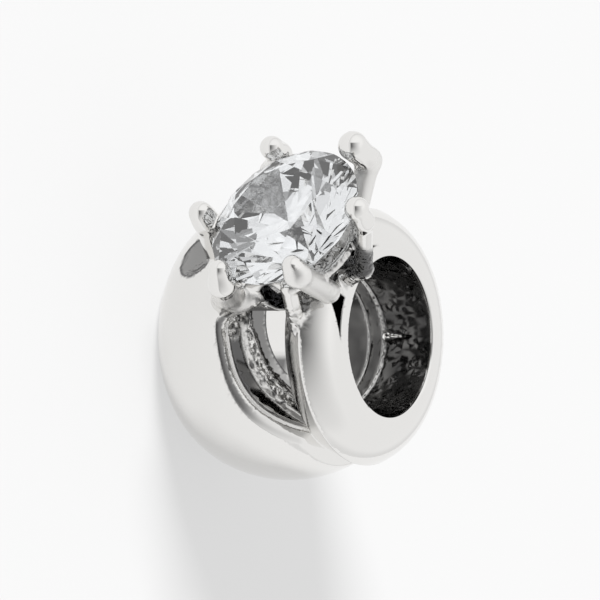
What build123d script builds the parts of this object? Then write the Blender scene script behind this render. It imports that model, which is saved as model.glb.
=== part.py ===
from build123d import *
from math import acos, asin, cos, degrees, radians, sin, sqrt, tan
import os

# European charm bead: a wide domed band and a slim ring on one bore, cast as one
# piece of silver, with a round brilliant held in six prongs over the slim ring.
# Millimetres. The bore runs along Z, the slim ring is on top, the stone faces -Y,
# and the origin is in the middle of the bore. A depth is measured down from the
# slim ring's flat face, and a height from the bore's axis towards the stone.

# Bore and the two bands
bore_radius = 2.38
bore_lip = 0.1
wide_radius = 4.3
wide_crest_depth = 3.57
dome_spring_radius = 1.95
dome_half_width = 3.1
rest_width = 0.4
slim_width = 1.62
slim_radius = 3.86
slim_crest_depth = 0.86
slim_crown_tilt = 27.0
slim_crown_round = 1.05
crease_drop = 0.38
crease_width = 0.14

# Channel between the bands, as seen from the side: a straight wall, a bend and a slope
channel_top_width = 2.12
channel_bend_width = 1.48
channel_bend_height = 1.75
channel_bend_radius = 0.9
channel_foot_drop = 0.3
wall_round = 0.13
ledge_width = 0.98
ledge_step = 0.2

# Openings pierced beside the rim of the slim ring, under the head
opening_rim_width = 0.46
opening_crest_width = 0.36
opening_start_angle = 12.0
opening_end_angle = 37.0

# Dish in the crest of the wide band beside its prong
dish_ball_radius = 1.0
dish_sink = 0.34
dish_offset = 0.05
dish_from_crest = 1.21

# Stone: a round brilliant, its culet just under the crest of the slim ring
stone_radius = 2.45
stone_depth = 0.75
head_lean = 4.0
culet_sink = 0.065
table_radius = 1.42
lower_half_radius = 0.56
crown_angle = 34.0
pavilion_angle = 41.0
girdle_height = 0.1
stone_gap = 0.03
mains = 8

# Bridge: two walls over the channel on a thin floor, each with a window
bridge_half_width = 1.6
bridge_floor_drop = 0.39
bridge_roof_rise = 0.89
bridge_start_depth = 0.7
bridge_slope_depth = 2.2
bridge_slope_drop = 0.75
pocket_half_width = 1.05
pocket_floor_drop = 0.28
pocket_start_depth = 0.25
pocket_wall = 0.25
window_width = 0.8
window_height = 1.08
window_depth = 1.45
window_sill = 0.07

# Rail round the pavilion, and a post on each side from the slim ring up to it
rail_radius = 1.65
rail_drop = 1.3
rail_bar_radius = 0.2
post_radius = 0.25
post_foot_across = 1.85
post_foot_drop = 1.11
post_foot_depth = 1.2

# Prongs: round tapered legs, each bent over the girdle and ending in a ball. A row gives
# the angle round the stone, then over the girdle's radius and over its plane the places of
# the ball and of the leg's shoulder, and the radii of ball, shoulder and foot.
prong_columns = ("angle", "ball_over", "ball_rise", "shoulder_over", "shoulder_rise",
                 "ball_radius", "shoulder_radius", "foot_radius")
prong_rows = {
    "front": (0.0, 0.28, 0.24, 0.19, -0.35, 0.37, 0.27, 0.28),
    "near": (58.0, 0.11, 0.46, 0.27, 0.18, 0.31, 0.37, 0.36),
    "far": (120.0, 0.11, 0.44, 0.31, 0.0, 0.34, 0.36, 0.34),
    "back": (180.0, 0.36, 0.44, 0.4, 0.1, 0.36, 0.35, 0.24),
    "far_behind": (244.0, 0.17, 0.4, 0.31, -0.1, 0.36, 0.33, 0.32),
    "near_behind": (305.0, 0.47, 0.22, 0.57, -0.6, 0.45, 0.35, 0.36),
}
foot_sink = 0.46
front_foot_rise = 0.7
near_foot_across = 1.0
near_foot_sink = 0.24
near_foot_depth = 0.05
bracket_sink = 0.91
bracket_depth = 0.14
far_foot_across = 1.6
far_foot_depth = 3.3
back_foot_across = 0.12
back_foot_depth = 4.12
back_foot_sink = 0.2

# Hooks: each far prong's foot runs on in a round bar that curls along the bridge's wall.
# A row gives a point's place across, over the slim ring's crest and in depth, and its radius.
hook_columns = ("across", "rise", "depth", "radius")
hook_rows = (
    (2.2, 1.44, 2.4, 0.33),
    (2.0, 0.89, 2.63, 0.33),
    (1.75, 0.28, 2.62, 0.3),
    (1.62, 0.24, 2.2, 0.24),
)

rest_radius = bore_radius + rest_width
ledge_radius = bore_radius + ledge_width
slim_face_radius = slim_radius - slim_crest_depth * tan(radians(slim_crown_tilt))
crease_radius = slim_radius - crease_drop
opening_inner_radius = bore_radius + opening_rim_width
opening_outer_radius = slim_radius - opening_crest_width
dome_rise = wide_radius - dome_spring_radius
dome_start = degrees(acos((rest_radius - dome_spring_radius) / dome_rise))
bead_length = wide_crest_depth + dome_half_width * sin(radians(dome_start))
top_z = bead_length / 2
base_z = top_z - bead_length
slim_inner_z = top_z - slim_width
slim_crest_z = top_z - slim_crest_depth
wide_crest_z = top_z - wide_crest_depth
dome_finish = degrees(asin((slim_inner_z - crease_width - wide_crest_z) / dome_half_width))
half_girdle = girdle_height / 2
table_rise = half_girdle + (stone_radius - table_radius) * tan(radians(crown_angle))
culet_drop = half_girdle + stone_radius * tan(radians(pavilion_angle))
stone_height = slim_radius - culet_sink + culet_drop * cos(radians(head_lean))
half_turn = 180 / mains
corner_radius = stone_radius / cos(radians(half_turn))
star_radius = (table_radius * cos(radians(half_turn)) + stone_radius) / 2
star_rise = half_girdle + tan(radians(crown_angle)) * (
    stone_radius - star_radius * cos(radians(half_turn)))
lower_half_drop = half_girdle + tan(radians(pavilion_angle)) * (
    stone_radius - lower_half_radius * cos(radians(half_turn)))
prongs = {name: dict(zip(prong_columns, row)) for name, row in prong_rows.items()}
hook = [dict(zip(hook_columns, row)) for row in hook_rows]
channel_reach = wide_radius + max(prong["ball_radius"] for prong in prongs.values())
bridge_floor = slim_radius - bridge_floor_drop
bridge_roof = slim_radius + bridge_roof_rise
pocket_floor = slim_radius - pocket_floor_drop
head_axis = Vector(0, -cos(radians(head_lean)), -sin(radians(head_lean)))
head_plane = Plane(origin=(0, -stone_height, top_z - stone_depth), x_dir=(1, 0, 0), z_dir=head_axis)
head_section = Plane(head_plane.origin, x_dir=head_plane.x_dir, z_dir=-head_plane.y_dir)


def dome_reach(depth):
    """The radius of the wide band's dome at a depth."""
    share = (depth - wide_crest_depth) / dome_half_width
    return dome_spring_radius + dome_rise * sqrt(1 - share**2)


def head_point(radius, angle, rise):
    """A point round the stone's axis, its angle turning from the bore's direction towards +X."""
    turn = radians(angle)
    return head_plane.from_local_coords(Vector(radius * sin(turn), radius * cos(turn), rise))


def band_point(across, height, depth):
    """A point by its X, its height over the bore's axis and its depth under the top face."""
    return Vector(across, -height, top_z - depth)


def facet(first, second, third):
    """The plane of a facet through three points of the stone, facing out of it."""
    normal = (second - first).cross(third - first).normalized()
    outward = first - head_plane.origin
    return Plane(first, z_dir=normal if normal.dot(outward) > 0 else -normal)


def add_bar(start, end, start_radius, end_radius):
    """A round bar with ball ends, straight or tapered, added to the part being built."""
    along = (Align.CENTER, Align.CENTER, Align.MIN)
    with Locations(Plane(origin=start, z_dir=end - start).location):
        if start_radius == end_radius:
            Cylinder(start_radius, (end - start).length, align=along)
        else:
            Cone(start_radius, end_radius, (end - start).length, align=along)
    with Locations(start):
        Sphere(start_radius)
    with Locations(end):
        Sphere(end_radius)


def channel_corners(inset):
    """The channel's corners seen from the side, its wide band wall brought in by an inset."""
    return (
        (channel_foot_drop, slim_inner_z),
        (-channel_reach, slim_inner_z),
        (-channel_reach, slim_inner_z - channel_top_width + inset),
        (-channel_bend_height, slim_inner_z - channel_bend_width + inset),
    )


# Channel cutters: the full side view outside the ledge round the bore, a narrower one inside
with BuildPart() as channel:
    with BuildSketch(Plane.YZ) as side:
        with BuildLine():
            Polyline(*channel_corners(0), close=True)
        make_face()
        fillet(side.vertices().sort_by_distance(channel_corners(0)[3])[0], channel_bend_radius)
    extrude(amount=channel_reach, both=True)
    Cylinder(ledge_radius, 2 * bead_length, mode=Mode.SUBTRACT)

with BuildPart() as channel_core:
    with BuildSketch(Plane.YZ) as side:
        with BuildLine():
            Polyline(*channel_corners(ledge_step), close=True)
        make_face()
        fillet(side.vertices().sort_by_distance(channel_corners(ledge_step)[3])[0], channel_bend_radius)
    extrude(amount=wide_radius, both=True)
    Cylinder(ledge_radius, 2 * bead_length, mode=Mode.INTERSECT)

# Pierced opening beside the slim ring's rim, on the +X side
with BuildPart() as opening:
    with BuildSketch(Plane.XY.offset(slim_inner_z)):
        with BuildLine():
            low = Vector(0, -opening_inner_radius).rotate(Axis.Z, opening_end_angle)
            high = Vector(0, -opening_inner_radius).rotate(Axis.Z, opening_start_angle)
            peak = Vector(0, -opening_outer_radius).rotate(Axis.Z, opening_start_angle)
            middle = Vector(0, -opening_inner_radius).rotate(
                Axis.Z, (opening_start_angle + opening_end_angle) / 2)
            beside = Vector(0, -(opening_inner_radius + opening_outer_radius) / 2).rotate(
                Axis.Z, (opening_start_angle + opening_end_angle) / 2)
            ThreePointArc(low, middle, high)
            Line(high, peak)
            ThreePointArc(peak, beside, low)
        make_face()
    extrude(amount=2 * slim_width)

# Pocket under the stone, open upwards between the bridge's walls
with BuildPart() as pocket:
    with Locations(band_point(0, pocket_floor, wide_crest_depth - pocket_wall)):
        Box(2 * pocket_half_width, stone_height, wide_crest_depth - pocket_wall - pocket_start_depth,
            align=(Align.CENTER, Align.MAX, Align.MIN))

# Stone: a round blank cut facet by facet
with BuildPart(head_plane.offset(-culet_drop)) as stone:
    Cylinder(stone_radius, culet_drop + table_rise, align=(Align.CENTER, Align.CENTER, Align.MIN))
    for turn in range(mains):
        angle = 2 * half_turn * turn
        middle = angle + half_turn
        after = middle + half_turn
        table_corner = head_point(table_radius, angle, table_rise)
        star = head_point(star_radius, middle, star_rise)
        upper = [head_point(stone_radius, way, half_girdle) for way in (angle, middle, after)]
        lower = [head_point(stone_radius, way, -half_girdle) for way in (angle, middle, after)]
        low = head_point(lower_half_radius, middle, -lower_half_drop)
        for cut in (
            facet(upper[0], head_point(corner_radius, middle, half_girdle), table_corner),
            facet(table_corner, head_point(table_radius, after, table_rise), star),
            facet(upper[0], upper[1], star),
            facet(upper[1], upper[2], star),
            facet(lower[0], head_point(corner_radius, middle, -half_girdle),
                  head_point(0, 0, -culet_drop)),
            facet(lower[0], lower[1], low),
            facet(lower[1], lower[2], low),
        ):
            split(bisect_by=cut, keep=Keep.BOTTOM)

# Seat: the stone's envelope with its gap, which keeps claws and rail off the stone
with BuildPart() as seat:
    with BuildSketch(head_section):
        with BuildLine():
            Polyline(
                (0, table_rise + stone_gap),
                (table_radius, table_rise + stone_gap),
                (star_radius, star_rise + stone_gap),
                (stone_radius + stone_gap, half_girdle + stone_gap),
                (stone_radius + stone_gap, -half_girdle - stone_gap),
                (lower_half_radius, -lower_half_drop - stone_gap),
                (0, -culet_drop - stone_gap),
                close=True,
            )
        make_face()
    revolve(axis=Axis(head_plane.origin, -head_axis))

# Head: the bridge, the rail, the posts and the six prongs, with the seat cut in them
with BuildPart() as head:
    with BuildSketch(Plane.YZ.offset(pocket_half_width)):
        with BuildLine():
            Polyline(
                (-bridge_floor, top_z - bridge_start_depth),
                (-bridge_roof, top_z - bridge_start_depth),
                (-bridge_roof, top_z - bridge_slope_depth),
                (-bridge_roof + bridge_slope_drop, wide_crest_z),
                (-bridge_floor, wide_crest_z),
                close=True,
            )
        make_face()
        with Locations((-bridge_floor - window_sill - window_height / 2, top_z - window_depth)):
            SlotOverall(window_height, window_width, mode=Mode.SUBTRACT)
    extrude(amount=bridge_half_width - pocket_half_width)
    mirror(about=Plane.YZ)
    with Locations(band_point(0, bridge_floor, wide_crest_depth)):
        Box(2 * pocket_half_width, pocket_floor - bridge_floor, wide_crest_depth - bridge_start_depth,
            align=(Align.CENTER, Align.MAX, Align.MIN))

    with Locations(head_plane.offset(-rail_drop).location):
        Torus(rail_radius, rail_bar_radius, major_angle=180, align=None)
    for side_sign in (-1, 1):
        add_bar(
            band_point(side_sign * post_foot_across, slim_radius - post_foot_drop, post_foot_depth),
            head_point(rail_radius, side_sign * 90, -rail_drop), post_radius, post_radius)

    front_foot = band_point(0, slim_radius - foot_sink, -front_foot_rise)
    near_height = slim_radius - near_foot_sink
    far_height = wide_radius - foot_sink
    feet = {
        "front": front_foot,
        "near": band_point(near_foot_across, near_height, near_foot_depth),
        "far": band_point(far_foot_across, far_height, far_foot_depth),
        "back": band_point(back_foot_across, dome_reach(back_foot_depth) - back_foot_sink, back_foot_depth),
        "far_behind": band_point(-far_foot_across, far_height, far_foot_depth),
        "near_behind": band_point(-near_foot_across, near_height, near_foot_depth),
    }
    for name, foot in feet.items():
        prong = prongs[name]
        shoulder = head_point(stone_radius + prong["shoulder_over"], prong["angle"], prong["shoulder_rise"])
        ball = head_point(stone_radius + prong["ball_over"], prong["angle"], prong["ball_rise"])
        add_bar(foot, shoulder, prong["foot_radius"], prong["shoulder_radius"])
        add_bar(shoulder, ball, prong["shoulder_radius"], prong["ball_radius"])
    for side_sign in (-1, 1):
        for start, end in zip(hook, hook[1:]):
            add_bar(
                band_point(side_sign * start["across"], slim_radius + start["rise"], start["depth"]),
                band_point(side_sign * end["across"], slim_radius + end["rise"], end["depth"]),
                start["radius"], end["radius"])
    bracket_foot = band_point(0, slim_radius - bracket_sink, bracket_depth)
    add_bar(front_foot, bracket_foot, prongs["front"]["foot_radius"], prongs["front"]["foot_radius"])
    add(seat.part, mode=Mode.SUBTRACT)
    Cylinder(bore_radius, 2 * bead_length, mode=Mode.SUBTRACT)

# Bands: one turned section, from the bore's base over the dome, the crease and the slim ring
with BuildPart() as bead_body:
    with BuildSketch(Plane.YZ) as section:
        with BuildLine():
            dome = EllipticalCenterArc(
                (dome_spring_radius, wide_crest_z), dome_rise, dome_half_width,
                start_angle=-dome_start, arc_size=dome_start + dome_finish)
            Polyline(
                dome @ 1,
                (crease_radius, slim_inner_z),
                (slim_radius, slim_crest_z),
                (slim_face_radius, top_z),
                (bore_radius + bore_lip, top_z),
                (bore_radius, top_z - bore_lip),
                (bore_radius, base_z),
                dome @ 0,
            )
        make_face()
        fillet(section.vertices().sort_by_distance((slim_face_radius, top_z))[0], slim_crown_round)
    revolve(axis=Axis.Z)

    # The channel, with the wide band's edge on it rounded and the ledge left round the bore
    add(channel.part, mode=Mode.SUBTRACT)
    wall_rim = bead_body.edges(Select.LAST).filter_by(GeomType.BSPLINE).filter_by(
        lambda edge: Vector((edge @ 0.5).X, (edge @ 0.5).Y).length > ledge_radius + wall_round)
    fillet(wall_rim, wall_round)
    add(channel_core.part, mode=Mode.SUBTRACT)

    # Openings in the slim ring, and the pocket's end in its crest
    add(opening.part, mode=Mode.SUBTRACT)
    add(mirror(opening.part, about=Plane.YZ, mode=Mode.PRIVATE), mode=Mode.SUBTRACT)
    add(pocket.part, mode=Mode.SUBTRACT)

    # Dish in the wide band's crest
    dish_share = dish_from_crest / dome_half_width
    dish_slope = Vector(sqrt(1 - dish_share**2) / dome_rise, -dish_share / dome_half_width).normalized()
    dish_reach = dome_reach(wide_crest_depth + dish_from_crest)
    dish_centre = Vector(dish_reach, wide_crest_z - dish_from_crest) + dish_slope * (
        dish_ball_radius - dish_sink)
    with Locations(Vector(0, -dish_centre.X, dish_centre.Y).rotate(
            Axis.Z, -degrees(asin(dish_offset / dish_reach)))):
        Sphere(dish_ball_radius, mode=Mode.SUBTRACT)

    add(head.part)

bead_body.part.label = "bead_body"
stone.part.label = "stone"
os.makedirs("parts", exist_ok=True)
export_step(bead_body.part, "parts/bead_body.step")
export_step(stone.part, "parts/stone.step")
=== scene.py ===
import bpy
import math
import numpy as np
import openvdb
from mathutils import Matrix, Vector


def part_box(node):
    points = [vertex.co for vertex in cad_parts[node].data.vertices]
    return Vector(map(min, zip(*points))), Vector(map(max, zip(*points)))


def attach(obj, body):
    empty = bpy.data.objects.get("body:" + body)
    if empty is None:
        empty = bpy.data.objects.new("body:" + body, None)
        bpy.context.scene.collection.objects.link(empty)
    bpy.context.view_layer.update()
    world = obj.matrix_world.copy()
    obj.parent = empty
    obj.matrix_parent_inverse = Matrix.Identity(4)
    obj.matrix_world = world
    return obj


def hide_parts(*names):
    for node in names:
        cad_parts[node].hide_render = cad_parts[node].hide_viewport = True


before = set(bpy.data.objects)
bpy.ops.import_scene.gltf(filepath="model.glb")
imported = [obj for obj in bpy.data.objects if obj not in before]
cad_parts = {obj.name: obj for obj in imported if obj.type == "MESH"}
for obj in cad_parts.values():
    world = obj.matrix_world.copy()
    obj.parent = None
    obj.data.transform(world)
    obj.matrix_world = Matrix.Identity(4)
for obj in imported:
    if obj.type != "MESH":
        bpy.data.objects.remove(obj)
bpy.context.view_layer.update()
MM = 0.001


# Camera: a long lens at the photograph's angle to the bead. The bead stands on the wide
# band's flat end, so the picture is turned until the stone is up and the slim ring is at
# the right, as it was photographed.
PIXELS_PER_MM = 33.5
PICTURE_PIXELS = 600
PICTURE_SIDE = PICTURE_PIXELS / PIXELS_PER_MM * MM
LENS = 1200.0
SENSOR = 36.0
NEAR_CLIP, FAR_CLIP = 0.5, 3
PICTURE_RIGHT = Vector((-0.312, 0.4234, 0.85)).normalized()
PICTURE_UP = Vector((-0.805, -0.593, 0.0)).normalized()
TO_CAMERA = PICTURE_RIGHT.cross(PICTURE_UP).normalized()
LOOK_AT = Vector((-0.03, -1.81, 0.92)) * MM

camera_data = bpy.data.cameras.new("camera")
camera_data.lens = LENS
camera_data.sensor_width = SENSOR
camera = bpy.data.objects.new("camera", camera_data)
bpy.context.scene.collection.objects.link(camera)
camera_distance = PICTURE_SIDE * LENS / SENSOR
camera.matrix_world = Matrix.Translation(LOOK_AT + TO_CAMERA * camera_distance) @ Matrix(
    (PICTURE_RIGHT, TO_CAMERA.cross(PICTURE_RIGHT), TO_CAMERA)).transposed().to_4x4()
camera_data.clip_start = camera_distance * NEAR_CLIP
camera_data.clip_end = camera_distance * FAR_CLIP
bpy.context.scene.camera = camera


# Metal casting: sterling silver, cast in one piece from a wax, polished outside and left as
# cast, then darkened, where no wheel reaches. Its surface is worked out as a distance field
# in millimetres, so that the claws flow into the bands as cast metal does. In it, across is
# X, height points to the stone and depth is measured down from the slim ring's face.
TOP = -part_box("bead_body")[0].z / MM
LENGTH = 2 * TOP
BORE = 2.38


def blend_min(a, b, reach):
    """The nearer of two distances, with a fillet where they meet."""
    return np.minimum(a, b) - np.maximum(reach - np.abs(a - b), 0) ** 2 / (4 * reach)


def blend_max(a, b, reach):
    """The farther of two distances, with a round edge where they meet."""
    return np.maximum(a, b) + np.maximum(reach - np.abs(a - b), 0) ** 2 / (4 * reach)


def ramp(value, start, end):
    """A smooth step from 0 at start to 1 at end."""
    share = np.clip((value - start) / (end - start), 0, 1)
    return share * share * (3 - 2 * share)


def ridge(value, width):
    """A smooth ridge, 1 where the value is 0."""
    return np.exp(-(value / width) ** 2)


# Wide band: a high dome on one end, with its other end hollowed into the channel's wall. The
# wall has a bevelled lip with two fine lines inside it, a bend half-way down and a raised
# ledge round the bore, and the dome's crest has a dish ground into it beside the back claw.
DOME_SPRING, DOME_RISE, DOME_HALF, DOME_DEPTH = 1.95, 2.35, 3.1, 3.57
LIP_ROUND, BASE_EDGE = 0.14, 0.1
WALL_DEPTH, WALL_HEIGHT, WALL_BEND = 3.10, 1.75, 0.35
UPPER_SLOPE, UPPER_SCALE = 0.2215, 1.024
LOWER_SLOPE, LOWER_SCALE = 0.722, 1.233
LEDGE, LEDGE_STEP, LEDGE_ROUND = 3.22, 0.2, 0.04
LEDGE_EDGE, LEDGE_SPREAD, LEDGE_SPREAD_HEIGHTS = 2.86, 0.22, (2.1, 2.8)
LEDGE_GROOVE, GROOVE_WIDTH = 0.035, 0.05
LIP, LIP_SLOPE, LIP_RISE, LIP_RISE_ENDS = 0.25, 0.3, 0.09, (0.6, 0.3)
GROOVE_LINE, RIDGE_LINE, LINE_WIDTH, LINE_DEPTH, RIDGE_SHARE = 0.05, 0.13, 0.035, 0.04, 0.6
CREASE, CREASE_SLOPE, CREASE_SCALE, CREASE_EDGE = 3.48, 0.37, 0.938, 0.06
DISH, DISH_SINK, DISH_DEPTH, DISH_EDGE = 1.0, 0.34, 4.78, 0.05
TINY = 1e-6


def dome_distance(radius, depth):
    out, along = np.maximum(radius - DOME_SPRING, 0), depth - DOME_DEPTH
    level = np.sqrt((out / DOME_RISE) ** 2 + (along / DOME_HALF) ** 2) + TINY
    slope = np.sqrt((out / DOME_RISE ** 2) ** 2 + (along / DOME_HALF ** 2) ** 2) / level + TINY
    return (level - 1) / slope


def ledge_edge(height):
    """The radius of the fine groove between the ledge's rough part and its smooth inner edge."""
    return LEDGE_EDGE + LEDGE_SPREAD * ramp(height, *LEDGE_SPREAD_HEIGHTS)


def dish_inside(across, height, depth):
    """How far a point is inside the ball that hollows the dish."""
    share = (DISH_DEPTH - DOME_DEPTH) / DOME_HALF
    crest = math.sqrt(1 - share ** 2)
    slope = math.atan2(share / DOME_HALF, crest / DOME_RISE)
    away = DOME_SPRING + DOME_RISE * crest + (DISH - DISH_SINK) * math.cos(slope)
    below = (DISH - DISH_SINK) * math.sin(slope)
    return DISH - np.sqrt(across ** 2 + (height - away) ** 2 + (depth - DISH_DEPTH - below) ** 2)


def wide_band(across, height, depth, radius):
    """Distance to the band. A slope's scale turns its gap along the depth into a distance."""
    dome = dome_distance(radius, depth)
    upper = (WALL_DEPTH + UPPER_SLOPE * (height - WALL_HEIGHT) - depth) / UPPER_SCALE
    lower = (WALL_DEPTH + LOWER_SLOPE * (height - WALL_HEIGHT) - depth) / LOWER_SCALE
    wall = blend_min(upper, lower, WALL_BEND)
    wall -= LEDGE_STEP * ramp(radius, LEDGE + LEDGE_ROUND, LEDGE - LEDGE_ROUND)
    wall += LEDGE_GROOVE * ridge(radius - ledge_edge(height), GROOVE_WIDTH)
    inside = -dome
    wall -= LIP_SLOPE * (np.clip(inside, 0, LIP) - LIP / 2) + LIP_RISE * ramp(inside, *LIP_RISE_ENDS)
    wall += LINE_DEPTH * (ridge(inside - LIP - GROOVE_LINE, LINE_WIDTH)
                          - RIDGE_SHARE * ridge(inside - LIP - RIDGE_LINE, LINE_WIDTH))
    band = blend_max(dome, wall, LIP_ROUND)
    crease = (RING_WIDTH + (radius - CREASE) * CREASE_SLOPE - depth) * CREASE_SCALE
    band = blend_max(band, crease, CREASE_EDGE)
    band = blend_max(band, depth - LENGTH, BASE_EDGE)
    return blend_max(band, dish_inside(across, height, depth), DISH_EDGE)


# Slim ring: a half-round band of the same casting, which meets the wide band in a crease
# over its lower part. A three-cornered opening is cut through it on each side of the head.
RING_WIDTH, RING_RADIUS, RING_CREST = 1.62, 3.86, 0.86
RING_TILT = math.radians(27)
CROWN_ROUND, FLANK_EDGE, BACK_EDGE = 0.75, 0.03, 0.1
FLANK_OUT, FLANK_DOWN = 0.894, 0.447
OPENING_EDGE, OPENING_START = 2.84, math.radians(12)
OPENING_SIDE, OPENING_HEIGHT = 0.728, 3.424
OPENING_SIDE_SHARE, OPENING_HEIGHT_SHARE = 0.7625, 0.647
OPENING_END, OPENING_LOWEST, OPENING_ROUND = 1.9, 2.0, 0.05


def opening_distance(across, height, depth, radius):
    side = np.abs(across)
    opening = np.maximum(OPENING_EDGE - radius,
                         height * math.sin(OPENING_START) - side * math.cos(OPENING_START))
    opening = np.maximum(opening, (side - OPENING_SIDE) * OPENING_SIDE_SHARE
                         + (height - OPENING_HEIGHT) * OPENING_HEIGHT_SHARE)
    return np.maximum(opening, np.maximum(depth - OPENING_END, OPENING_LOWEST - height))


def slim_ring(across, height, depth, radius):
    crown = (radius - RING_RADIUS) * math.cos(RING_TILT) - (depth - RING_CREST) * math.sin(RING_TILT)
    flank = (radius - RING_RADIUS) * FLANK_OUT + (depth - RING_CREST) * FLANK_DOWN
    ring = blend_max(blend_max(crown, -depth, CROWN_ROUND), flank, FLANK_EDGE)
    ring = blend_max(ring, depth - RING_WIDTH, BACK_EDGE)
    return blend_max(ring, -opening_distance(across, height, depth, radius), OPENING_ROUND)


# Head: a bridge over the channel with a hollow under the stone and a round window on each
# side, a rail under the girdle on two posts, and six claws. The far claws' feet run on in
# hooks along the bridge. All of it is part of the one casting.
STONE_RADIUS, STONE_HEIGHT, STONE_DEPTH = 2.45, 5.9694, 0.75
LEAN = math.radians(4.0)
BRIDGE_SIDE, BRIDGE_FLOOR, BRIDGE_ROOF, BRIDGE_START, BRIDGE_END = 1.6, 3.47, 4.75, 0.7, 3.7
ROOF_BEND, ROOF_SLOPE, ROOF_SCALE, ROOF_ROUND, BRIDGE_ROUND = 2.2, 0.55, 0.9, 0.3, 0.2
POCKET_SIDE, POCKET_FLOOR, POCKET_START, POCKET_END, POCKET_EDGE = 1.05, 3.58, 0.25, 3.32, 0.1
WINDOW_DEPTH, WINDOW_HEIGHT, WINDOW, WINDOW_REACH, WINDOW_EDGE = 1.45, 4.08, 0.4, 0.14, 0.08
RAIL, RAIL_DROP, RAIL_BAR, RAIL_FILLET = 1.65, 1.3, 0.14, 0.1
POST_FOOT, POST_BAR, POST_FILLET = (1.85, 2.75, 1.2), 0.25, 0.15
CLAWS = (
    dict(angle=0, out=2.73, rise=0.24, tip=0.37, shoulder_out=2.64, shoulder_rise=-0.35, leg=0.27,
         foot=(0, 3.4, -0.7), foot_radius=0.28, flow=0.18),
    dict(angle=58, out=2.56, rise=0.46, tip=0.31, shoulder_out=2.72, shoulder_rise=0.18, leg=0.37,
         foot=(1.0, 3.62, 0.05), foot_radius=0.36, flow=0.18),
    dict(angle=120, out=2.56, rise=0.44, tip=0.34, shoulder_out=2.76, shoulder_rise=0.0, leg=0.36,
         foot=(1.6, 3.84, 3.3), foot_radius=0.34, flow=0.5),
    dict(angle=180, out=2.81, rise=0.44, tip=0.36, shoulder_out=2.85, shoulder_rise=0.1, leg=0.35,
         foot=(0.12, 4.06, 4.12), foot_radius=0.24, flow=0.18),
    dict(angle=244, out=2.62, rise=0.4, tip=0.36, shoulder_out=2.76, shoulder_rise=-0.1, leg=0.33,
         foot=(-1.6, 3.84, 3.3), foot_radius=0.32, flow=0.5),
    dict(angle=305, out=2.92, rise=0.22, tip=0.45, shoulder_out=3.02, shoulder_rise=-0.6, leg=0.35,
         foot=(-1.0, 3.62, 0.05), foot_radius=0.36, flow=0.18),
)
CLAW_BEND = 0.25
BRACKET = ((0, 3.4, -0.7), (0, 2.95, 0.14), 0.28, 0.28)
WEB = ((0, 3.72, -0.5), (0, 3.6, 0.1), 0.2, 0.2)
BRACKET_FILLET = 0.15
HOOK = ((2.2, 5.3, 2.4), (2.0, 4.75, 2.63), (1.75, 4.14, 2.62), (1.62, 4.1, 2.2))
HOOK_BARS = (0.33, 0.33, 0.3, 0.24)
HOOK_FILLET, HEAD_FILLET = 0.2, 0.2
CROWN_UP, CROWN_OUT, PAVILION_DOWN, PAVILION_OUT = 0.829, 0.559, 0.755, 0.656
SEAT_GIRDLE, SEAT_TABLE, SEAT_GAP = 0.08, 0.77, 0.03


def bar(p, start, end, start_radius, end_radius):
    """Distance to a round tapered bar with ball ends."""
    start, end = np.array(start), np.array(end)
    along = end - start
    share = np.clip(sum((p[i] - start[i]) * along[i] for i in range(3)) / (along @ along), 0, 1)
    gap = np.sqrt(sum((p[i] - start[i] - share * along[i]) ** 2 for i in range(3)))
    return gap - start_radius - share * (end_radius - start_radius)


def head_point(out, angle, rise):
    """A point round the stone's axis as (across, height, depth)."""
    turn = math.radians(angle)
    along = out * math.cos(turn)
    return (out * math.sin(turn),
            STONE_HEIGHT + rise * math.cos(LEAN) + along * math.sin(LEAN),
            STONE_DEPTH + rise * math.sin(LEAN) - along * math.cos(LEAN))


def stone_frame(across, height, depth):
    """Distance out from the stone's axis, way along it to the slim ring's side, and rise."""
    centre = head_point(0, 0, 0)
    rise = (height - centre[1]) * math.cos(LEAN) + (depth - centre[2]) * math.sin(LEAN)
    along = -(depth - centre[2]) * math.cos(LEAN) + (height - centre[1]) * math.sin(LEAN)
    return np.sqrt(across ** 2 + along ** 2), along, rise


def window_distance(height, depth):
    return np.sqrt((depth - WINDOW_DEPTH) ** 2
                   + np.maximum(np.abs(height - WINDOW_HEIGHT) - WINDOW_REACH, 0) ** 2) - WINDOW


def rail_distance(out, rise):
    return np.sqrt((out - RAIL) ** 2 + (rise + RAIL_DROP) ** 2) - RAIL_BAR


def claw_bars(p, claw):
    """Distances to a claw's leg and to the end that is bent over the girdle."""
    shoulder = head_point(claw["shoulder_out"], claw["angle"], claw["shoulder_rise"])
    tip = head_point(claw["out"], claw["angle"], claw["rise"])
    return (bar(p, claw["foot"], shoulder, claw["foot_radius"], claw["leg"]),
            bar(p, shoulder, tip, claw["leg"], claw["tip"]))


def hook_bars(side, height, depth):
    """Distances to the three bars of a hook."""
    return [bar((side, height, depth), *HOOK[i:i + 2], *HOOK_BARS[i:i + 2]) for i in range(3)]


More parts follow.
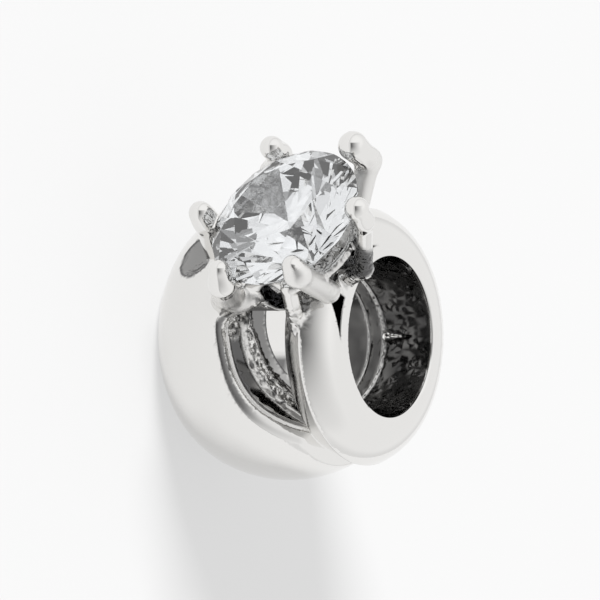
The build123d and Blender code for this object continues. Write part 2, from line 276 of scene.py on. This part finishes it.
def with_head(body, across, height, depth, radius):
    p, side = (across, height, depth), np.abs(across)
    roof = np.minimum(BRIDGE_ROOF, BRIDGE_ROOF - (depth - ROOF_BEND) * ROOF_SLOPE)
    bridge = np.maximum(side - BRIDGE_SIDE, BRIDGE_FLOOR - height)
    bridge = blend_max(bridge, (height - roof) * ROOF_SCALE, ROOF_ROUND)
    bridge = blend_max(bridge, np.maximum(BRIDGE_START - depth, depth - BRIDGE_END), BRIDGE_ROUND)
    bridge = blend_max(bridge, -window_distance(height, depth), WINDOW_EDGE)
    body = blend_min(body, bridge, HEAD_FILLET)
    pocket = np.maximum(side - POCKET_SIDE, POCKET_FLOOR - height)
    pocket = np.maximum(pocket, np.maximum(POCKET_START - depth, depth - POCKET_END))
    body = blend_max(body, -pocket, POCKET_EDGE)

    out, along, rise = stone_frame(across, height, depth)
    body = blend_min(body, np.maximum(rail_distance(out, rise), -along), RAIL_FILLET)
    for sign in (-1, 1):
        foot = (sign * POST_FOOT[0], POST_FOOT[1], POST_FOOT[2])
        post = bar(p, foot, head_point(RAIL, sign * 90, -RAIL_DROP), POST_BAR, POST_BAR)
        body = blend_min(body, post, POST_FILLET)

    for claw in CLAWS:
        leg, end = claw_bars(p, claw)
        body = blend_min(body, blend_min(leg, end, CLAW_BEND), claw["flow"])
    body = blend_min(body, np.minimum(bar(p, *BRACKET), bar(p, *WEB)), BRACKET_FILLET)
    first, second, third = hook_bars(side, height, depth)
    hook = blend_min(blend_min(first, second, HOOK_FILLET), third, HOOK_FILLET)
    body = blend_min(body, hook, HEAD_FILLET)

    crown = (rise - SEAT_GIRDLE) * CROWN_UP + (out - STONE_RADIUS) * CROWN_OUT
    pavilion = -(rise + SEAT_GIRDLE) * PAVILION_DOWN + (out - STONE_RADIUS) * PAVILION_OUT
    seat = np.maximum(np.maximum(crown, pavilion), rise - SEAT_TABLE) - SEAT_GAP
    return np.maximum(body, -seat)


# Bore: the casting's hole, with the step where the wide band's wax was joined to the slim
# ring's, a second line beside it, and a burr of metal standing on the wall.
SEAM_DEPTH, SEAM_BOW, SEAM_LEAN = 1.69, 0.55, 0.12
SEAM_ACROSS, SEAM_HEIGHT = 0.805, 0.593
STEP_OUT, STEP_END = 0.05, 0.04
SECOND_SEAM, SECOND_STEP_IN, SECOND_STEP_END = 0.52, 0.03, 0.56
SEAM_BEAD, SEAM_WIDTH, SECOND_BEAD, SECOND_WIDTH = 0.05, 0.05, 0.04, 0.04
BORE_EDGE = 0.08
BURR, BURR_FILLET = ((-1.37, -1.86, 1.5), (-1.33, -1.8, 0.88), 0.21, 0.03), 0.04


def seam_depth(across, height):
    """How deep in the bore the two waxes were joined."""
    turn = (SEAM_ACROSS * across - SEAM_HEIGHT * height) / BORE
    return SEAM_DEPTH + SEAM_BOW * turn ** 2 - SEAM_LEAN * turn


def with_bore(body, across, height, depth, radius):
    seam = seam_depth(across, height)
    hole = (BORE + STEP_OUT * ramp(depth, seam + STEP_END, seam)
            - SECOND_STEP_IN * ramp(depth, seam + SECOND_STEP_END, seam + SECOND_SEAM)
            - SEAM_BEAD * ridge(depth - seam, SEAM_WIDTH)
            - SECOND_BEAD * ridge(depth - seam - SECOND_SEAM, SECOND_WIDTH))
    body = blend_max(body, hole - radius, BORE_EDGE)
    return blend_min(body, bar((across, height, depth), *BURR), BURR_FILLET)


# Skin of the casting: rough as the mould left it in the channel, the bore, the hollow under
# the stone and a few corners, and smooth from the wheel elsewhere. A zone names the measures
# that bound it: two limits are a soft start or end, and four are a start and an end.
GRAIN, GRAIN_HEIGHT, FINE_GRAIN, FINE_HEIGHT = 0.11, 0.03, 0.07, 0.018
SEED_STEPS, SEED_MIX = (73856093, 19349663, 83492791), 1274126177
NEAR_CORE = 0.6
SKIN_DEPTH = 0.15
UNDER_STONE = dict(out=(2.25, 2.05), side=(1.52, 1.42), rise=(-0.35, -0.6), height=(3.25, 3.45))
CAST_LEDGE = dict(radius=(LEDGE + 0.08, LEDGE), edge=(-0.06, 0.04), depth=(1.9, 2.1, 3.5, 3.7),
                  height=(-0.6, 0.2))
CAST_BORE = dict(radius=(BORE + 0.2, BORE + 0.12), depth=(0.15, 0.35))
CAST_BORE_END, CAST_BORE_PAST_SEAM = 1.6, 0.5
CAST_FOOT = dict(depth=(0.15, -0.05), height=(2.75, 2.95, 4.1, 4.5), side=(0.6, 0.45))
BORE_SHARE, HOLLOW_SHARE, FOOT_SHARE = 0.3, 0.45, 0.6
NOTCH = dict(centre=(1.46, 3.6, 0.75), reach=0.3)
CAST_PATCHES = (
    NOTCH,
    dict(centre=(1.85, 3.1, 3.38), reach=0.5),
    dict(centre=(1.75, 3.6, 1.1), reach=0.75, share=0.5),
    dict(centre=(1.6, 3.95, 2.05), reach=0.4),
)
DISH_PATCH = dict(centre=(0.35, 3.75, 4.7), reach=0.5)


def grain(p, cell):
    """Random smooth bumps, one cell apart, between -1 and 1."""
    low = [np.floor(c / cell).astype(np.int64) for c in p]
    share = [ramp(c / cell - i, 0, 1) for c, i in zip(p, low)]
    total = 0
    for corner in np.ndindex(2, 2, 2):
        i, j, k = ((a + b) * step for a, b, step in zip(low, corner, SEED_STEPS))
        mixed = i ^ j ^ k
        mixed = (mixed ^ mixed >> 13) * SEED_MIX
        weight = 1
        for part, side in zip(share, corner):
            weight = weight * (part if side else 1 - part)
        total = total + weight * ((mixed >> 9 & 0xFFFF) / 0x8000 - 1)
    return total


def near(p, centre, reach, share=1):
    """The share near a point, and 0 beyond its reach."""
    gap = np.sqrt(sum((c - m) ** 2 for c, m in zip(p, centre)))
    return share * ramp(gap, reach, reach * NEAR_CORE)


def measure(across, height, depth, radius):
    """The measures that bound the zones of the skin."""
    out, along, rise = stone_frame(across, height, depth)
    return dict(across=across, side=np.abs(across), height=height, depth=depth, radius=radius,
                out=out, along=along, rise=rise, inside=-dome_distance(radius, depth),
                edge=radius - ledge_edge(height), seam=depth - seam_depth(across, height))


def zone(measures, share=1, **limits):
    """The share between the limits of every named measure, and 0 outside, with soft edges."""
    for name, ends in limits.items():
        share = share * ramp(measures[name], *ends[:2])
        if len(ends) == 4:
            share = share * ramp(measures[name], ends[3], ends[2])
    return share


def cast_share(measures):
    """1 where the skin is left as cast, 0 where it is polished."""
    across, side, height, depth = (measures[name] for name in ("across", "side", "height", "depth"))
    bore_end = seam_depth(across, height) + CAST_BORE_PAST_SEAM
    parts = [zone(measures, **CAST_LEDGE),
             zone(measures, BORE_SHARE, **CAST_BORE) * ramp(depth, bore_end, CAST_BORE_END),
             HOLLOW_SHARE * zone(measures, **UNDER_STONE),
             FOOT_SHARE * zone(measures, **CAST_FOOT),
             near((across, height, depth), **DISH_PATCH)]
    parts += [near((side, height, depth), **patch) for patch in CAST_PATCHES]
    return np.clip(np.maximum.reduce(parts), 0, 1)


# Mesh of the casting: the field is sampled coarsely, then finely near the surface, turned
# into polygons, and each point is moved onto the exact surface and given its exact normal.
BANDS_FILLET = 0.05
VOXEL = 0.032
COARSE = 4
NARROW_BAND = 3 * VOXEL
NEAR_BLOCKS = 1.2
FLATNESS = 0.04
CHUNK = 400000
SLOPE_STEP = 0.008
MOVES, MOVE_LIMIT = 3, 0.5 * VOXEL
LEAST_SLOPE, LEAST_LENGTH = 1e-3, 1e-9
FIELD_LOW = np.array([-4.5, -4.5, -2.4])
FIELD_HIGH = np.array([4.5, 7.1, LENGTH + 0.2])


def casting_distance(across, height, depth):
    radius = np.sqrt(across ** 2 + height ** 2)
    body = blend_min(wide_band(across, height, depth, radius),
                     slim_ring(across, height, depth, radius), BANDS_FILLET)
    body = with_head(body, across, height, depth, radius)
    body = with_bore(body, across, height, depth, radius)
    skin = np.abs(body) < SKIN_DEPTH
    share = np.zeros_like(body)
    share[skin] = cast_share(measure(across[skin], height[skin], depth[skin], radius[skin]))
    skin = share > 0
    p = across[skin], height[skin], depth[skin]
    body[skin] += share[skin] * (GRAIN_HEIGHT * grain(p, GRAIN) + FINE_HEIGHT * grain(p, FINE_GRAIN))
    return body


def casting_slope(points):
    slope = np.empty_like(points)
    for i in range(3):
        ahead, behind = points.copy(), points.copy()
        ahead[:, i] += SLOPE_STEP
        behind[:, i] -= SLOPE_STEP
        slope[:, i] = (casting_distance(*ahead.T) - casting_distance(*behind.T)) / (2 * SLOPE_STEP)
    return slope


block = VOXEL * COARSE
counts = np.ceil((FIELD_HIGH - FIELD_LOW) / block).astype(int)
centres = np.meshgrid(*(FIELD_LOW[i] + block * (np.arange(counts[i]) + 0.5) for i in range(3)),
                      indexing="ij")
rough = casting_distance(*(c.ravel() for c in centres)).reshape(counts)
field = np.where(rough < 0, -NARROW_BAND, NARROW_BAND).astype(np.float32)
close = np.abs(rough) < block * NEAR_BLOCKS + NARROW_BAND
for axis in range(3):
    field, close = field.repeat(COARSE, axis), close.repeat(COARSE, axis)
cells = np.argwhere(close)
for start in range(0, len(cells), CHUNK):
    part = cells[start:start + CHUNK]
    value = casting_distance(*(FIELD_LOW[i] + VOXEL * (part[:, i] + 0.5) for i in range(3)))
    field[tuple(part.T)] = np.clip(value, -NARROW_BAND, NARROW_BAND)
level_set = openvdb.FloatGrid(NARROW_BAND)
level_set.copyFromArray(field)
level_set.transform = openvdb.createLinearTransform(voxelSize=VOXEL)
points, triangles, quads = level_set.convertToPolygons(0.0, FLATNESS)
points = points.astype(np.float64) + FIELD_LOW + VOXEL / 2

for turn in range(MOVES):
    slope = casting_slope(points)
    size = (slope ** 2).sum(1) + LEAST_SLOPE
    move = slope * (casting_distance(*points.T) / size)[:, None]
    length = np.sqrt((move ** 2).sum(1))
    move *= np.minimum(1, MOVE_LIMIT / np.maximum(length, LEAST_LENGTH))[:, None]
    points -= move
normals = casting_slope(points)
normals /= np.sqrt((normals ** 2).sum(1))[:, None] + LEAST_LENGTH


# Darkening of the casting: the sulphide skin stays in the bore, the channel and the hollow under
# the stone, and painted shade deepens it in the bore and on the channel's wall, most under the
# bridge. Painted shade also darkens the bore's far end, the windows and the openings, and a
# painted dark reflection lies thin on the lip's edge and in the dish. The legs of the two claws
# over the slim ring and the hooks are satin, not polished.
SATIN_CLAWS = (CLAWS[1], CLAWS[5])
SATIN_ENDS, SATIN_CAST_DEPTHS = (0.12, 0.03), (0.6, 0.4)
LIP_MIDDLE, LIP_REACH = 0.08, (0.1, 0.06)
LIP_REFLECTION_ZONE = dict(facing=(0.2, 0.45), depth=(1.4, 1.6), height=(0.9, 1.9))
WALL = dict(inside=(LIP + 0.15, LIP + 0.21), depth=(1.7, 1.9, 3.7, 3.8), height=(-1.6, -0.6),
            radius=(BORE + 0.05, BORE + 0.15), facing=(0.3, 0.6))
MOUTH = dict(radius=(BORE + 0.14, BORE + 0.07), depth=(0.08, 0.16, 3.2, 4.4))
# Where shade is painted at the bore's far end, on the side away from the stone.
FAR_SHADE_ZONE = dict(radius=(BORE + 0.14, BORE + 0.07), depth=(4.8, 5.1), across=(-1.0, -0.75),
                height=(0, -1))
WINDOW_SHADE_SIDES = dict(side=(0.9, 1.0, 1.52, 1.66))
SEAM_LINE, RAIL_ENDS, DISH_ENDS, RIM_LINE = 0.06, (0.06, 0.02), (0.06, 0.03), 0.05
# Where shade is painted on the openings' and the windows' sides.
OPENING_SHADE_ENDS, OPENING_SHADE_DEPTHS = (0.05, 0.02), (0.0, 0.1)
WINDOW_SHADE_ENDS, DISH_DEPTHS = (0.12, 0.04), (3.8, 4.0)
PIT = dict(centre=(1.75, 3.9, 2.62), reach=0.12)
BURR_LIGHT, BURR_RADII = dict(centre=(-1.35, -1.83, 1.3), reach=0.55), (BORE - 0.03, BORE - 0.08)
MOTTLE, GRAIN_SHARE, DARK_HOLLOWS = 0.3, 0.6, (-0.42, 0.0)
# Strengths of the darkening: for the bore and the channel's wall, sulphide skin and painted shade
# together; under the bridge and at the bore's far end, painted shade; for the lip's edge, the dish
# and its rim, painted dark reflections.
BORE_SULPHIDE_AND_SHADE, MOTTLE_DARK, SEAM_BRIGHT, LIP_REFLECTION_DARK = 0.8, 0.15, 0.75, 0.75
HOLLOW_DARK, HOLLOW_MORE, HOLLOW_MORE_ALONG, RAIL_BRIGHT = 0.45, 0.45, (0.2, 0.8), 0.85
WALL_SULPHIDE_AND_SHADE, UNDER_BRIDGE_SHADE, UNDER_BRIDGE_SHADE_RADII = 0.74, 0.14, (LEDGE, LEDGE + 0.06)
WALL_FOOT_LESS, WALL_FOOT_HEIGHTS = 0.2, (1.8, 1.3)
PAINTED_FAR_SHADE, CAST_DARK, NOTCH_DARK, DISH_REFLECTION_DARK, DISH_RIM_REFLECTION_DARK = 0.8, 0.85, 0.8, 0.65, 0.95

across, height, depth = points.T
radius = np.sqrt(across ** 2 + height ** 2)
measures = measure(across, height, depth, radius)
measures["facing"] = -normals[:, 2]
side, along, seam = measures["side"], measures["along"], measures["seam"]
mirrored = (side, height, depth)
on_rail = ramp(rail_distance(measures["out"], measures["rise"]), *RAIL_ENDS)

satin = [claw_bars(points.T, claw)[0] for claw in SATIN_CLAWS] + hook_bars(*mirrored)
satin = ramp(np.minimum.reduce(satin), *SATIN_ENDS)
as_cast = cast_share(measures) * (1 - satin * ramp(depth, *SATIN_CAST_DEPTHS))
relief = GRAIN_SHARE * grain(points.T, GRAIN) + (1 - GRAIN_SHARE) * grain(points.T, FINE_GRAIN)
raised = ramp(relief, *DARK_HOLLOWS)
mottle = 0.5 + 0.5 * grain(points.T, MOTTLE)
seam_lines = np.maximum(ridge(seam, SEAM_LINE), ridge(seam - SECOND_SEAM, SEAM_LINE))
# Painted dark reflection: a thin dark band along the lip's bevel, on its upper part where it faces
# the slim ring.
painted_lip_reflection = ramp(np.abs(measures["inside"] - LIP_MIDDLE), *LIP_REACH) * zone(measures, **LIP_REFLECTION_ZONE)
in_hollow = zone(measures, **UNDER_STONE) * (1 - satin) * (1 - RAIL_BRIGHT * on_rail)
in_dish = ramp(np.abs(dish_inside(*points.T)), *DISH_ENDS) * ramp(depth, *DISH_DEPTHS)
# Painted shade: the cut sides of the three-cornered openings are coloured fully dark.
painted_opening_shade = (ramp(opening_distance(across, height, depth, radius), *OPENING_SHADE_ENDS)
              * ramp(depth, *OPENING_SHADE_DEPTHS))
# The channel's wall: sulphide skin with painted shade, darker still in its upper, outer part under
# the bridge and lighter lower down.
wall_foot = ramp(height, *WALL_FOOT_HEIGHTS)
wall_sulphide_and_shade_share = (WALL_SULPHIDE_AND_SHADE + UNDER_BRIDGE_SHADE * ramp(radius, *UNDER_BRIDGE_SHADE_RADII) * (1 - wall_foot)
             - WALL_FOOT_LESS * wall_foot)
darkness = np.maximum.reduce((
    # The bore: sulphide skin deepened with painted shade, mottled, and lighter along the two seam
    # lines.
    (BORE_SULPHIDE_AND_SHADE + MOTTLE_DARK * mottle) * zone(measures, **MOUTH) * (1 - SEAM_BRIGHT * seam_lines),
    # painted shade at the bore's far end
    PAINTED_FAR_SHADE * zone(measures, **FAR_SHADE_ZONE),
    # painted dark reflection on the lip's edge
    LIP_REFLECTION_DARK * painted_lip_reflection,
    # sulphide skin and painted shade on the channel's wall
    wall_sulphide_and_shade_share * zone(measures, **WALL) * (1 - as_cast),
    CAST_DARK * as_cast * (1 - raised),
    (HOLLOW_DARK + HOLLOW_MORE * ramp(along, *HOLLOW_MORE_ALONG)) * in_hollow,
    # painted shade on the openings' cut sides
    painted_opening_shade,
    # painted shade on the sides of the round windows
    ramp(window_distance(height, depth), *WINDOW_SHADE_ENDS) * zone(measures, **WINDOW_SHADE_SIDES),
    NOTCH_DARK * near(mirrored, **NOTCH),
    near(mirrored, **PIT),
    # Painted dark reflection in the polished dish, with a darker line round its rim.
    DISH_REFLECTION_DARK * in_dish,
    DISH_RIM_REFLECTION_DARK * in_dish * ridge(measures["inside"], RIM_LINE),
))
on_burr = near(points.T, **BURR_LIGHT) * ramp(radius, *BURR_RADII)
darkness = darkness * (1 - on_burr)

mesh_points = np.stack((across, -height, TOP - depth), 1) * MM
mesh_normals = np.stack((normals[:, 0], -normals[:, 1], -normals[:, 2]), 1)
casting_mesh = bpy.data.meshes.new("casting")
faces = [tuple(face) for face in triangles.tolist()] + [tuple(face) for face in quads.tolist()]
casting_mesh.from_pydata(mesh_points, [], faces)
casting_mesh.shade_smooth()
casting_mesh.normals_split_custom_set_from_vertices(mesh_normals)
for name, values in (("as cast", as_cast), ("darkness", darkness), ("satin", satin)):
    attribute = casting_mesh.attributes.new(name, "FLOAT", "POINT")
    attribute.data.foreach_set("value", values.astype(np.float32))
casting = bpy.data.objects.new("casting", casting_mesh)
bpy.context.scene.collection.objects.link(casting)
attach(casting, "root")
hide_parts("bead_body")


# Polished and darkened sterling silver: a white metal, tumbled and wheeled to a near mirror,
# with a black sulphide skin left in the hollows and a dull, pitted skin where it is as cast.
POLISHED, SATIN, AS_CAST = 0.07, 0.45, 0.24


def linear(code):
    """A colour's sRGB code as linear light."""
    parts = [int(code[i:i + 2], 16) / 255 for i in (1, 3, 5)]
    return tuple(p / 12.92 if p <= 0.04045 else ((p + 0.055) / 1.055) ** 2.4 for p in parts) + (1,)


def add_node(tree, kind, inputs=(), **settings):
    node = tree.nodes.new(kind)
    for name, value in settings.items():
        setattr(node, name, value)
    for socket, value in dict(inputs).items():
        if isinstance(value, bpy.types.NodeSocket):
            tree.links.new(value, node.inputs[socket])
        else:
            node.inputs[socket].default_value = value
    return node


silver = bpy.data.materials.new("polished and darkened sterling silver")
silver.use_nodes = True
tree = silver.node_tree
shader = tree.nodes["Principled BSDF"]
darkness_node = add_node(tree, "ShaderNodeAttribute", attribute_name="darkness")
cast_node = add_node(tree, "ShaderNodeAttribute", attribute_name="as cast")
# The dark colour stands for the sulphide skin and also for painted shade and painted dark
# reflections.
tone = add_node(tree, "ShaderNodeMix", data_type="RGBA", inputs={
    0: darkness_node.outputs["Fac"], 6: linear("#E9E8E6"), 7: linear("#2A2A2C")})
satin_node = add_node(tree, "ShaderNodeAttribute", attribute_name="satin")
least = add_node(tree, "ShaderNodeMapRange", inputs={
    "Value": satin_node.outputs["Fac"], "To Min": POLISHED, "To Max": SATIN})
gloss = add_node(tree, "ShaderNodeMapRange", inputs={
    "Value": cast_node.outputs["Fac"], "To Min": least.outputs[0], "To Max": AS_CAST})
tree.links.new(tone.outputs[2], shader.inputs["Base Color"])
tree.links.new(gloss.outputs[0], shader.inputs["Roughness"])
shader.inputs["Metallic"].default_value = 1.0
casting.data.materials.append(silver)


# Stone: a round cubic zirconia, cut with a table, crown and pavilion facets and polished.
# It is clear and bends light strongly, so it shows broken pieces of light and dark.
ZIRCONIA_IOR = 2.15
gem = bpy.data.materials.new("cubic zirconia")
gem.use_nodes = True
shader = gem.node_tree.nodes["Principled BSDF"]
shader.inputs["Base Color"].default_value = linear("#F5F7F9")
shader.inputs["Roughness"].default_value = 0.0
shader.inputs["IOR"].default_value = ZIRCONIA_IOR
shader.inputs["Transmission Weight"].default_value = 1.0
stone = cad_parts["stone"]
stone.data.materials.clear()
stone.data.materials.append(gem)


# Light: a white tent, a little brighter above the slim ring and dimmer near the floor. The
# tent has a slit for the lens and its stand, which the polished silver shows as a dark line.
# A soft lamp on the stone's side casts the bead's shadow, and no reflection shows it.
TENT_GLOW, SLIT_GLOW, HORIZON_GLOW, HORIZON = 0.95, 0.15, 0.86, (0.0, 0.25)
BRIGHT_GLOW, BRIGHT_ENDS = 0.1, (0.5, 0.95)
BRIGHT_WAY = Vector((-0.33, -0.55, 0.77)).normalized()
SLIT_LEFT, SLIT_RIGHT, SLIT_FRONT = (-0.42, -0.25), (0.85, -0.2), (0.0, 0.3)
SLIT_BELOW, SLIT_ABOVE = (-1.15, -0.1), (0.5, 0.35)
KEY_WAY = Vector((0.75, 1.45, -0.8))
KEY_GLOW = 14.0
KEY_SOFTNESS = math.radians(20)

world = bpy.data.worlds.new("light tent")
world.use_nodes = True
bpy.context.scene.world = world
tree = world.node_tree
way = add_node(tree, "ShaderNodeTexCoord").outputs["Generated"]


def part_along(direction):
    """How far a ray's way points along a direction, from -1 to 1."""
    return add_node(tree, "ShaderNodeVectorMath", {0: way, 1: tuple(direction)},
                    operation="DOT_PRODUCT").outputs["Value"]


def spread(value, ends, low=0.0, high=1.0, kind="LINEAR"):
    return add_node(tree, "ShaderNodeMapRange", {
        "Value": value, "From Min": ends[0], "From Max": ends[1], "To Min": low, "To Max": high},
        interpolation_type=kind).outputs[0]


def fade(value, ends, low=0.0, high=1.0):
    return spread(value, ends, low, high, "SMOOTHSTEP")


def combine(operation, first, second):
    return add_node(tree, "ShaderNodeMath", {0: first, 1: second}, operation=operation).outputs[0]


side_way = part_along(PICTURE_RIGHT)
up_way = part_along(PICTURE_UP)
dark = combine("MINIMUM", fade(side_way, SLIT_LEFT), spread(side_way, SLIT_RIGHT))
dark = combine("MULTIPLY", dark, spread(up_way, SLIT_BELOW))
dark = combine("MULTIPLY", dark, fade(up_way, SLIT_ABOVE))
dark = combine("MULTIPLY", dark, fade(part_along(TO_CAMERA), SLIT_FRONT))
glow = combine("ADD", fade(part_along(BRIGHT_WAY), BRIGHT_ENDS, 0.0, BRIGHT_GLOW), TENT_GLOW)
glow = combine("MULTIPLY", glow, spread(dark, (0.0, 1.0), 1.0, SLIT_GLOW))
glow = combine("MULTIPLY", glow, fade(part_along((0, 0, 1)), HORIZON, HORIZON_GLOW, 1.0))
seen = add_node(tree, "ShaderNodeLightPath").outputs["Is Camera Ray"]
glow = combine("MAXIMUM", glow, seen)
tree.links.new(glow, tree.nodes["Background"].inputs["Strength"])
tree.nodes["Background"].inputs["Color"].default_value = linear("#FFFFFF")
bpy.context.scene.view_settings.view_transform = "Standard"

key_data = bpy.data.lights.new("key", "SUN")
key_data.energy = KEY_GLOW
key_data.angle = KEY_SOFTNESS
key = bpy.data.objects.new("key", key_data)
key.rotation_euler = KEY_WAY.to_track_quat("-Z", "Y").to_euler()
key.visible_glossy = False
key.visible_transmission = False
bpy.context.scene.collection.objects.link(key)


# Floor: a sheet of frosted acrylic lit from below. It glows more inside the bore, as the
# white ground does that the photograph shows through the channel's slot.
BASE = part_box("bead_body")[0].z
FLOOR_HALF = 0.2
FLOOR_GLOW, BORE_GLOW, BORE_GLOW_ENDS = 0.58, 0.95, (2.2 * MM, 2.4 * MM)
FROSTED = 0.9

floor_mesh = bpy.data.meshes.new("floor")
floor_mesh.from_pydata([(-FLOOR_HALF, -FLOOR_HALF, BASE), (FLOOR_HALF, -FLOOR_HALF, BASE),
                        (FLOOR_HALF, FLOOR_HALF, BASE), (-FLOOR_HALF, FLOOR_HALF, BASE)],
                       [], [(0, 1, 2, 3)])
floor = bpy.data.objects.new("floor", floor_mesh)
bpy.context.scene.collection.objects.link(floor)
acrylic = bpy.data.materials.new("white acrylic sheet")
acrylic.use_nodes = True
tree = acrylic.node_tree
shader = tree.nodes["Principled BSDF"]
shader.inputs["Base Color"].default_value = linear("#646464")
shader.inputs["Roughness"].default_value = FROSTED
shader.inputs["Emission Color"].default_value = linear("#FFFFFF")
place = add_node(tree, "ShaderNodeTexCoord").outputs["Object"]
flat = add_node(tree, "ShaderNodeVectorMath", {0: place, 1: (1, 1, 0)},
                operation="MULTIPLY").outputs[0]
from_bore = add_node(tree, "ShaderNodeVectorMath", {0: flat}, operation="LENGTH").outputs["Value"]
strength = spread(from_bore, BORE_GLOW_ENDS, BORE_GLOW, FLOOR_GLOW)
tree.links.new(strength, shader.inputs["Emission Strength"])
floor.data.materials.append(acrylic)
